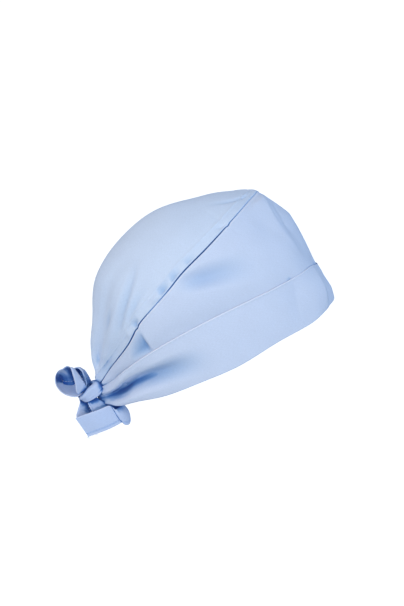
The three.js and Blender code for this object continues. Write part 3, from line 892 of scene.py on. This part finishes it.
def make_knot():
    face = np.sin(np.linspace(-1, 1, 48) * math.pi / 2) * 0.985
    inner = np.linspace(0.93, -0.93, 16)
    height = np.concatenate([superellipse(face, WRAP_FLATNESS), superellipse(inner, 4) - WRAP_THICKNESS])
    turn, column = np.meshgrid(np.linspace(0, 2 * math.pi, 161), np.arange(len(height)), indexing="ij")
    s, cos, sin = np.concatenate([face, inner])[column], np.cos(turn), np.sin(turn)
    squareness = np.abs(cos) ** KNOT_ROUNDNESS + np.abs(sin) ** KNOT_ROUNDNESS
    ripple = 0.02 * np.sin(s * 5 + 1.2 * sin) - PLEAT["depth"] * hump(s - PLEAT["place"], PLEAT["width"])
    radius = height[column] * squareness ** (-1 / KNOT_ROUNDNESS)
    radius += np.where(column < len(face), ripple, 0)
    across = s * (1 + 0.15 * cos - 0.24 * cos**2)
    places = np.stack([cos * radius, sin * radius, across], -1) * KNOT_HALF
    places[..., 0] -= KNOT_SLANT * places[..., 2]
    return grid_mesh("knot_wrap", KNOT_CENTRE * MM + places @ KNOT_AXES, closed=True)


knot = make_knot()
print("knot faces:", len(knot.data.polygons))

# %% [markdown]
# ## Thin tubes
#
# Sewing thread and loose threads are both thin round tubes along short paths. A ring of points
# goes round each point of a path, and faces join one ring to the next. All the tubes of a tie are
# one mesh, because hundreds of objects would be slow to handle.

# %% Tubes along paths
def tubes(name, paths, radius, sides=6):
    """One mesh of thin round tubes, one along each path, closed at both ends."""
    points, faces = [], []
    turn = np.arange(sides) * 2 * math.pi / sides
    for path in paths:
        along = unit(np.gradient(path, axis=0))
        right = unit(np.cross(along, (0.3, 0.4, 0.87)))
        up = np.cross(right, along)
        ring = np.cos(turn)[:, None] * right[:, None] + np.sin(turn)[:, None] * up[:, None]
        corner = np.arange(len(path) * sides).reshape(-1, sides) + len(points)
        points.extend((path[:, None] + radius * ring).reshape(-1, 3).tolist())
        around = quads(np.concatenate([corner, corner[:, :1]], 1))[:, (0, 3, 2, 1)]
        faces.extend(around.tolist() + [corner[0, ::-1].tolist(), corner[-1].tolist()])
    mesh = bpy.data.meshes.new(name)
    mesh.from_pydata(points, [], faces)
    mesh.uv_layers.new(name="cloth")
    mesh.shade_smooth()
    return add_object(name, mesh)


print("ready to make threads")

# %% [markdown]
# ## Stitches
#
# The open edge of each tie is closed with a row of stitches, 2.8 mm from one to the next, on both
# faces. A stitch is a short thread that dives into the tape at both ends.

# %% Model the stitches
STITCH_PITCH = 2.8 * MM
STITCH_LENGTH = 2.0 * MM
STITCH_DIVE = np.array((-0.3, -0.05, 0, -0.05, -0.3)) * MM      # along a stitch, from the tape's face
KNOT_COVER = 1.2            # rows of a tie that the knot hides
THREAD = 0.16 * MM          # radius of the sewing thread


def stitch_paths(curves, both_ends):
    """The path of each stitch, on both faces of a tie, between the knot and the tie's end."""
    inset = 1 - STITCH_INSET / TIE_WIDTH
    t = np.linspace(KNOT_COVER, curves[3] - (KNOT_COVER if both_ends else 0.05), 600)
    run = arc_lengths(tape_place(curves, t, np.full(600, inset))[0], 0)
    paths = []
    for start in np.arange(0, run[-1] - STITCH_LENGTH, STITCH_PITCH):
        places = np.interp(start + np.linspace(0, STITCH_LENGTH, 5), run, t)
        middle, normal = tape_place(curves, places, np.full(5, inset))
        lift = normal * (TAPE / 2 + STITCH_DIVE)[:, None]
        paths.extend([middle + lift, middle - lift])
    return paths


stitches = {name: tubes(name + "_stitches", stitch_paths(curves, tie_plan[name]["both_ends"]), THREAD)
            for name, (piece, curves) in ties.items()}
print("faces in stitches:", sum(len(piece.data.polygons) for piece in stitches.values()))

# %% [markdown]
# ## Loose threads
#
# The right tail ends in a raw cut. At its lower corner a few threads of the cloth have come
# loose, each with a length, a lean and a curl of its own, drawn from seeded random numbers.

# %% Model the loose threads
LOOSE_THREADS = 22
LOOSE_THREAD = 0.11 * MM    # radius of one
FRAY_REACH = 0.9            # rows of the tie, back from its cut end, in which threads come loose
FRAY_EDGE = 0.05            # share of the tie's width in which they do
LOOSE_LENGTH = (0.8, 2.4)   # of the threads, in mm


def loose_paths(curves, count, seed):
    """Short curly threads that stand out from the lower corner of a tie's cut end."""
    chance = np.random.default_rng(seed)
    near, far, bulge, end = curves
    share = np.linspace(0, 1, 7)[:, None]
    paths = []
    for _ in range(count):
        t = end - FRAY_REACH * chance.random() ** 2
        across = 1 - FRAY_EDGE * chance.random()
        start = tape_place(curves, np.array(t), np.array(across))[0]
        out, onward = unit(far(t) - near(t)), unit(far(end) - far(end - 0.3))
        lean = out * (0.5 + chance.random()) + onward * (chance.random() - 0.25)
        side = chance.normal(size=3) * 0.5
        length = (LOOSE_LENGTH[0] + (LOOSE_LENGTH[1] - LOOSE_LENGTH[0]) * chance.random()) * MM
        curl = share**2 * side + 0.12 * np.sin(6 * share) * side[::-1]
        paths.append(start + length * (share * lean + curl))
    return paths


fray = loose_paths(ties["tail_right"][1], LOOSE_THREADS, seed=7)
loose_threads = tubes("loose_threads", fray, LOOSE_THREAD, sides=5)
print("loose threads:", len(fray))

# %% [markdown]
# ## How closed in is the cloth?
#
# At the bottom of a fold most of the light has already bounced between blue walls, so it is a
# deep blue. To find such places, rays go out from the cloth in all directions, and the share of
# them that soon meet other cloth sets how much shade is painted into the colour at that point.

# %% Look round from a point with rays
REACH = 24 * MM             # how near other cloth must be to close a place in
RAYS = 56
RAY_START = 0.5 * MM        # above the cloth, so that no ray meets the face that it leaves
DAYLIGHT = np.array((-0.15, -0.8, 0.6))
EVEN_LIGHT = 0.12           # weight of a ray that goes nowhere near the daylight


def ray_fan(count):
    """Directions spread evenly over a ball, on a spiral."""
    height = 1 - (2 * np.arange(count) + 1) / count
    turn = np.arange(count) * math.pi * (3 - math.sqrt(5))
    ring = np.sqrt(1 - height**2)
    return np.stack([ring * np.cos(turn), ring * np.sin(turn), height], -1)


def cloth_tree(pieces):
    points, faces = [], []
    for piece in pieces:
        faces.extend([[i + len(points) for i in face.vertices] for face in piece.data.polygons])
        points.extend(vertex.co for vertex in piece.data.vertices)
    return BVHTree.FromPolygons(points, faces)


def closeness(tree, fan, point, normal):
    """The share of the view from a point that cloth nearby takes up. Nearer cloth counts more,
    and so does cloth in the way of the daylight from the wearer's right and above."""
    chosen = fan[fan @ normal > 0.1]
    weights = (chosen @ normal) * (EVEN_LIGHT + np.clip(chosen @ DAYLIGHT, 0, 1))
    start = Vector(point + normal * RAY_START)
    total = 0
    for direction, weight in zip(chosen, weights):
        distance = tree.ray_cast(start, Vector(direction), REACH)[3]
        if distance is not None:
            total += weight * (1 - distance / REACH)
    return total / weights.sum()


cloth_pieces = [crown, side, cuff, knot, *(piece for piece, curves in ties.values())]
tree = cloth_tree(cloth_pieces)
inside = closeness(tree, ray_fan(RAYS), rim_line(LAST), np.array((-1, 0, 0)))
print("just inside the forehead the cloth is closed in by", round(inside, 2))

# %% [markdown]
# ## Fill in and store the painted shade
#
# Every second or fourth point of a grid is measured, and the values in between follow smoothly.
# Each piece has its own gain: an edge that stands proud counts as open, and a narrow tape needs
# more, because few rays meet it.

# %% Store the painted shade on the meshes
OPEN, CLOSED = 0.06, 0.5    # closeness at which painted shade begins, and where it is deepest
OTHER_GAIN = 1.25


def spread_out(values, some_rows, some_columns, rows, columns):
    """Values known in some rows and columns, filled in between."""
    wide = np.array([np.interp(np.arange(columns), some_columns, row) for row in values])
    return np.array([np.interp(np.arange(rows), some_rows, column) for column in wide.T]).T


def measure_painted_shading(piece, tree, fan, stride, gain):
    mesh, rows = piece.data, piece["rows"]
    columns = len(mesh.vertices) // rows
    points, normals = np.zeros((2, rows * columns, 3))
    painted_shading = np.zeros(rows * columns)
    mesh.vertices.foreach_get("co", points.ravel())
    mesh.vertex_normals.foreach_get("vector", normals.ravel())
    layer = mesh.attributes["painted_shading"]
    layer.data.foreach_get("value", painted_shading)
    some_rows = np.unique([*range(0, rows, stride), rows - 1])
    some_columns = np.unique([*range(0, columns, stride), columns - 1])
    coarse = np.array([[closeness(tree, fan, points[r * columns + c], normals[r * columns + c])
                        for c in some_columns] for r in some_rows])
    close = spread_out(coarse, some_rows, some_columns, rows, columns) * gain
    found = smooth((close - OPEN) / (CLOSED - OPEN)).ravel()
    both = np.where(painted_shading < 0, painted_shading + found, np.maximum(painted_shading, found))
    layer.data.foreach_set("value", both.astype(np.float32))
    return coarse.max()


loop_rows = np.linspace(0, ties["loop_right"][1][3], tie_plan["loop_right"]["steps"])[:, None]
gains = {
    "crown_cloth": 1,
    "cuff_cloth": 1 - 0.9 * smooth((cuff_height - 0.86) / 0.1),
    "side_cloth": 0.2 + 0.8 * smooth((side_height - 1) / 0.15),
    "loop_right_cloth": 2.4 * (1 - smooth((loop_rows - 7.5) / 1.5)),
    "tail_left_cloth": 0.9,
}
for piece in cloth_pieces:
    stride = 4 if piece in (crown, side, cuff) else 2
    most = measure_painted_shading(piece, tree, ray_fan(RAYS), stride, gains.get(piece.name, OTHER_GAIN))
    print(piece.name, "is closed in up to", round(most, 2))

# %% [markdown]
# ## Shared shader groups
#
# The weave and the colour of the dyed cloth with its painted shade appear in every cloth
# material, so each is a node group with its own inputs. A group hands out only heights and
# colours. The shader that uses them stays in the material.

# %% Small helpers for node trees
def new_group(name, inputs, outputs):
    tree = bpy.data.node_groups.new(name, "ShaderNodeTree")
    for side_name, sockets in (("INPUT", inputs), ("OUTPUT", outputs)):
        for label, kind in sockets.items():
            tree.interface.new_socket(label, in_out=side_name, socket_type="NodeSocket" + kind)
    return tree, tree.nodes.new("NodeGroupInput").outputs, tree.nodes.new("NodeGroupOutput").inputs


def feed(node, values):
    """Give each named input a number of its own, or a link to another node's output."""
    for name, value in values.items():
        if isinstance(value, bpy.types.NodeSocket):
            node.id_data.links.new(value, node.inputs[name])
        else:
            node.inputs[name].default_value = value


def add_node(tree, kind, values, **settings):
    node = tree.nodes.new("ShaderNode" + kind)
    for name, setting in settings.items():
        setattr(node, name, setting)
    feed(node, values)
    return node


def maths(tree, operation, *values):
    return add_node(tree, "Math", dict(enumerate(values)), operation=operation).outputs[0]


def noise(tree, place, scale, detail=2.0):
    values = {"Vector": place, "Scale": scale, "Detail": detail}
    return add_node(tree, "TexNoise", values).outputs["Fac"]


def mix_colour(tree, share, first, second, blend="MIX"):
    values = {"Factor": share, "A": first, "B": second}
    return add_node(tree, "Mix", values, data_type="RGBA", blend_type=blend).outputs["Result"]


print("node helpers ready")

# %% [markdown]
# ## Plain weave
#
# In a plain weave each thread goes over one and under the next. A sine across the threads gives
# their round backs, and the product of two sines says which thread is on top. The pitch is the
# real distance between threads, about 0.4 mm.

# %% The weave group
def make_weave():
    tree, given, result = new_group(
        "plain weave", {"Place": "Vector", "Pitch": "Float"}, {"Height": "Float"})
    split = add_node(tree, "SeparateXYZ", {"Vector": given["Place"]})
    turn = maths(tree, "DIVIDE", math.pi, given["Pitch"])
    warp, weft = (maths(tree, "SINE", maths(tree, "MULTIPLY", split.outputs[axis], turn))
                  for axis in ("X", "Y"))
    lift = maths(tree, "MULTIPLY", warp, weft)
    over = maths(tree, "MULTIPLY", maths(tree, "ABSOLUTE", warp), maths(tree, "ADD", 1.0, lift))
    under = maths(tree, "MULTIPLY", maths(tree, "ABSOLUTE", weft), maths(tree, "SUBTRACT", 1.0, lift))
    tree.links.new(maths(tree, "MAXIMUM", over, under), result["Height"])
    return tree


weave_group = make_weave()
print("weave nodes:", len(weave_group.nodes))

# %% [markdown]
# ## Dyed cloth with painted shade
#
# Pale blue cotton is never one flat colour. Threads vary a little along their length, and in a
# deep fold the light reaches the eye only after several bounces between blue walls, so the blue
# grows deeper there. That shade is painted into the colour: a value stored on each vertex says how
# closed in the cloth is, and the colour that is left in the deepest fold is raised to that power,
# so red goes first and blue last. Where the value is below zero, a highlight is painted instead.

# %% The group of dye and painted shade
SLUB = dict(scale=420.0, stretch=(1.0, 7.0, 1.0), strength=0.26)        # thick places in the thread
MOTTLE = dict(scale=60.0, detail=3.0, strength=0.06)
DARKEST_TONE = 0.84         # of the dye, where neither adds to it


def make_dye_and_shade():
    tree, given, result = new_group(
        "dyed cloth with painted shade",
        {"Place": "Vector", "Colour": "Color", "Shade Colour": "Color", "Painted Shading": "Float"},
        {"Colour": "Color"})
    stretch = add_node(tree, "Mapping", {"Vector": given["Place"], "Scale": SLUB["stretch"]})
    slub = noise(tree, stretch.outputs["Vector"], SLUB["scale"])
    mottle = noise(tree, given["Place"], MOTTLE["scale"], MOTTLE["detail"])
    uneven = maths(tree, "ADD", maths(tree, "MULTIPLY", slub, SLUB["strength"]),
                   maths(tree, "MULTIPLY", mottle, MOTTLE["strength"]))
    tone = maths(tree, "ADD", uneven, DARKEST_TONE)
    bright = add_node(tree, "VectorMath", {"Vector": given["Colour"], "Scale": tone}, operation="SCALE")
    # shade painted into the colour: the deepest fold's colour raised to the power of the painted shade
    painted_shade_tint = add_node(tree, "Gamma", {"Color": given["Shade Colour"], "Gamma": given["Painted Shading"]})
    colour = mix_colour(tree, 1.0, bright.outputs[0], painted_shade_tint.outputs[0], "MULTIPLY")
    tree.links.new(colour, result["Colour"])
    return tree


dye_and_shade_group = make_dye_and_shade()
print("dye nodes:", len(dye_and_shade_group.nodes))

# %% [markdown]
# ## The cloth materials
#
# The crown, the side with its cuff, the ties and the sewing thread are the same cotton. The crown's
# colour is a little paler and the ties' a little deeper: light and shade painted into copies of
# the one cloth. Sheen gives cotton its soft bright edge, and a high roughness keeps it matt.

# %% Make the cloth materials
PAINTED_SHADE_COLOUR = (0.05, 0.16, 0.42, 1)          # colour of the painted shade: what is left of each colour in the deepest fold
PITCH = 0.42 * MM
THREAD_RELIEF = 0.04 * MM
CRUMPLE_SCALE = 90.0


def cloth_material(name, colour, crumple):
    material = bpy.data.materials.new(name)
    material.use_nodes = True
    tree = material.node_tree
    place = add_node(tree, "UVMap", {}, uv_map="cloth").outputs["UV"]
    painted_shading = add_node(tree, "Attribute", {}, attribute_name="painted_shading").outputs["Fac"]
    dye_and_shade = add_node(tree, "Group", {}, node_tree=dye_and_shade_group)
    feed(dye_and_shade, {"Place": place, "Colour": (*colour, 1), "Shade Colour": PAINTED_SHADE_COLOUR, "Painted Shading": painted_shading})
    weave = add_node(tree, "Group", {"Place": place, "Pitch": PITCH}, node_tree=weave_group)
    threads = add_node(tree, "Bump", {
        "Strength": 0.35, "Distance": THREAD_RELIEF, "Height": weave.outputs["Height"]})
    crumples = add_node(tree, "Bump", {
        "Distance": crumple, "Height": noise(tree, place, CRUMPLE_SCALE, 3.0),
        "Normal": threads.outputs["Normal"]})
    feed(tree.nodes["Principled BSDF"], {
        "Base Color": dye_and_shade.outputs["Colour"], "Normal": crumples.outputs["Normal"],
        "Roughness": 0.85, "Specular IOR Level": 0.25,
        "Sheen Weight": 0.15, "Sheen Roughness": 0.5})
    return material


# the crown's paler colour is painted light and the ties' deeper colour is painted shade
crown_cloth = cloth_material("crown_cloth", (0.645, 0.735, 0.9), 0.10 * MM)
band_cloth = cloth_material("band_cloth", (0.64, 0.71, 0.88), 0.10 * MM)
tie_cloth = cloth_material("tie_cloth", (0.52, 0.62, 0.86), 0.14 * MM)
thread = cloth_material("thread", (0.62, 0.70, 0.90), 0.02 * MM)
print("materials:", crown_cloth.name, band_cloth.name, tie_cloth.name, thread.name)

# %% [markdown]
# ## Dress the frame
#
# Every new piece takes a material, rides on the cap's one body and stands for the plain solid
# that it replaces.

# %% Materials and places
def dress(piece, material, slot, *nodes):
    piece.data.materials.append(material)
    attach(piece, "root")
    if nodes:
        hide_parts(*nodes)


dress(crown, crown_cloth, "cap_cloth", "crown_panel")
for allowance in allowances:
    dress(allowance, crown_cloth, "cap_cloth")
dress(side, band_cloth, "cap_cloth", "side_panel")
dress(cuff, band_cloth, "cuff_cloth", "cuff")
dress(knot, tie_cloth, "tie_cloth", "tie_knot")
for name, (piece, curves) in ties.items():
    dress(piece, tie_cloth, "tie_cloth", name)
    dress(stitches[name], thread, "tie_cloth")
dress(loose_threads, thread, "tie_cloth")

# %% [markdown]
# ## What each piece was cut to
#
# The size that each sheet of cloth was cut to is found and printed, with the ratio of the mesh's
# area to it. The smooth panels without their folds give it: lengths along the cloth for the width
# and length, and the sum of small flat quads for the area. A tie is taken as the pressed tape that
# shows, which is two layers of cloth and narrower where it is folded in. The wrap is as wide as one
# and a half ties.

WRAP_FLAT = (1.5 * TIE_WIDTH, 75 * MM)


def flat_cut(surface, u, v):
    """The greatest width and length of a smooth panel, and its area."""
    points = surface(*np.meshgrid(u, v, indexing="ij"))
    width, length = arc_lengths(points, 1)[:, -1].max(), arc_lengths(points, 0)[-1].max()
    one_way, other_way = points[1:, 1:] - points[:-1, :-1], points[:-1, 1:] - points[1:, :-1]
    area = np.linalg.norm(np.cross(one_way, other_way), axis=-1).sum() / 2
    return (float(width), float(length)), float(area)


def declare(piece, flat, area, held, rests_on, with_pieces=()):
    mesh_area = sum(face.area for face in piece.data.polygons)
    print(piece.name, "flat", [round(side / MM) for side in flat], "mm,", round(mesh_area / area, 2))


around = np.linspace(0, ROUND, 181)
declare(crown, *flat_cut(crown_surface, np.linspace(0, CROWN_END, 90), np.linspace(0, 1, 60)),
        "gathered", [side], allowances)
declare(side, *flat_cut(side_surface, around, np.linspace(1 - LAP, 2, 20)), "stretched", [cuff])
declare(cuff, *flat_cut(side_surface, around, cuff_height), "folded", [side])
for name, (piece, curves) in ties.items():
    t = np.linspace(0, curves[3], 200)
    width = np.linalg.norm(curves[1](t) - curves[0](t), axis=-1).mean()
    flat = (float(width), float(tie_length(curves)))
    with_pieces = [stitches[name], loose_threads] if name == "tail_right" else [stitches[name]]
    declare(piece, flat, flat[0] * flat[1], "folded", [knot], with_pieces)
declare(knot, WRAP_FLAT, WRAP_FLAT[0] * WRAP_FLAT[1], "folded", [cuff])

# %% [markdown]
# ## Studio
#
# A worn cap is seen at head height, so the camera looks only slightly down, from the wearer's
# right. A long lens from nearly two metres away keeps the cap's proportions true.

# %% The camera
CAMERA_AZIMUTH = math.radians(-12)
CAMERA_ELEVATION = math.radians(10)
CAMERA_DISTANCE = 1.86
LENS = 118.8
AIM = dict(right=-13.5 * MM, up=40.5 * MM)      # from the origin, in the camera's own plane


def facing_from(place):
    """The turn of a camera or light that looks from a place towards the origin."""
    return (-Vector(place)).to_track_quat("-Z", "Y").to_euler()


def make_camera():
    back = Vector((math.sin(CAMERA_AZIMUTH) * math.cos(CAMERA_ELEVATION),
                   -math.cos(CAMERA_AZIMUTH) * math.cos(CAMERA_ELEVATION),
                   math.sin(CAMERA_ELEVATION)))
    right = Vector((math.cos(CAMERA_AZIMUTH), math.sin(CAMERA_AZIMUTH), 0))
    camera = add_object("camera", bpy.data.cameras.new("camera"))
    camera.data.lens = LENS
    camera.location = right * AIM["right"] + back.cross(right) * AIM["up"] + back * CAMERA_DISTANCE
    camera.rotation_euler = facing_from(back)
    bpy.context.scene.camera = camera
    return camera


camera = make_camera()
print("camera at", [round(x, 3) for x in camera.location])

# %% [markdown]
# ## The floor
#
# The floor is a wide pale disc. It reflects a soft light up under the cap, and the camera sees it
# glow a little, so that it meets the background without an edge.

# %% Make the floor
FLOOR_Z = -0.35
FLOOR_RADIUS = 9
FLOOR_WHITE = 0.45
FLOOR_GLOW = 0.9


def make_floor():
    bpy.ops.mesh.primitive_circle_add(
        vertices=96, radius=FLOOR_RADIUS, fill_type="NGON", location=(0, 0, FLOOR_Z))
    floor = bpy.context.object
    floor.name = "floor"
    material = bpy.data.materials.new("floor_white")
    material.use_nodes = True
    tree = material.node_tree
    seen = add_node(tree, "LightPath", {}).outputs["Is Camera Ray"]
    feed(tree.nodes["Principled BSDF"], {
        "Base Color": (FLOOR_WHITE, FLOOR_WHITE, FLOOR_WHITE, 1), "Roughness": 0.9,
        "Emission Color": (1, 1, 1, 1), "Emission Strength": maths(tree, "MULTIPLY", seen, FLOOR_GLOW)})
    floor.data.materials.append(material)


make_floor()
print("the floor lies", -FLOOR_Z, "m below the origin")

# %% [markdown]
# ## Lights and sky
#
# The background is bright and even. Two large soft lights stand behind the camera: a warm one
# above its right shoulder and a cooler one low down. The sky is pale behind the wearer and a
# deeper blue ahead, so the forehead falls into shade while the crown stays light.

# %% The lights and the sky
SKY = 1.5                   # brightness of the sky's brightest part
SKY_SHOWN = 1.05            # brightness of the plain white that the camera sees instead
SKY_BEHIND = (0.86, 0.88, 0.92)         # behind the wearer
SKY_AHEAD = (0.25, 0.46, 0.75)          # in front of the wearer
LIGHTS = {
    "key": dict(place=(0.45, -2.5, 1.0), size=1.5, power=25, colour=(1, 0.82, 0.55)),
    "fill": dict(place=(-0.3, -2.75, -0.1), size=1.2, power=30, colour=(0.5, 0.75, 1)),
}


def make_light(name, place, size, power, colour):
    light = add_object(name, bpy.data.lights.new(name, "AREA"))
    light.data.size = size
    light.data.energy = power
    light.data.color = colour
    light.location = place
    light.rotation_euler = facing_from(place)


def make_sky():
    world = bpy.data.worlds.new("studio")
    world.use_nodes = True
    tree = world.node_tree
    seen = add_node(tree, "LightPath", {}).outputs["Is Camera Ray"]
    towards = add_node(tree, "TexCoord", {}).outputs["Generated"]
    split = add_node(tree, "SeparateXYZ", {"Vector": towards})
    ahead = add_node(tree, "MapRange", {"From Min": -1, "Value": split.outputs["X"]})
    ramp = add_node(tree, "ValToRGB", {"Fac": ahead.outputs["Result"]})
    for place in (0.4, 0.6):
        ramp.color_ramp.elements.new(place)
    rows = ((SKY_BEHIND, 1), (SKY_BEHIND, 1 / 3), (SKY_AHEAD, 1 / 3), (SKY_AHEAD, 1))
    for stop, (colour, share) in zip(ramp.color_ramp.elements, rows):
        stop.color = (*(part * share for part in colour), 1)
    white = (*[SKY_SHOWN / SKY] * 3, 1)
    shown = mix_colour(tree, seen, ramp.outputs["Color"], white)
    feed(tree.nodes["Background"], {"Strength": SKY, "Color": shown})
    bpy.context.scene.world = world


for name, row in LIGHTS.items():
    make_light(name, **row)
make_sky()
bpy.context.scene.view_settings.view_transform = "Standard"
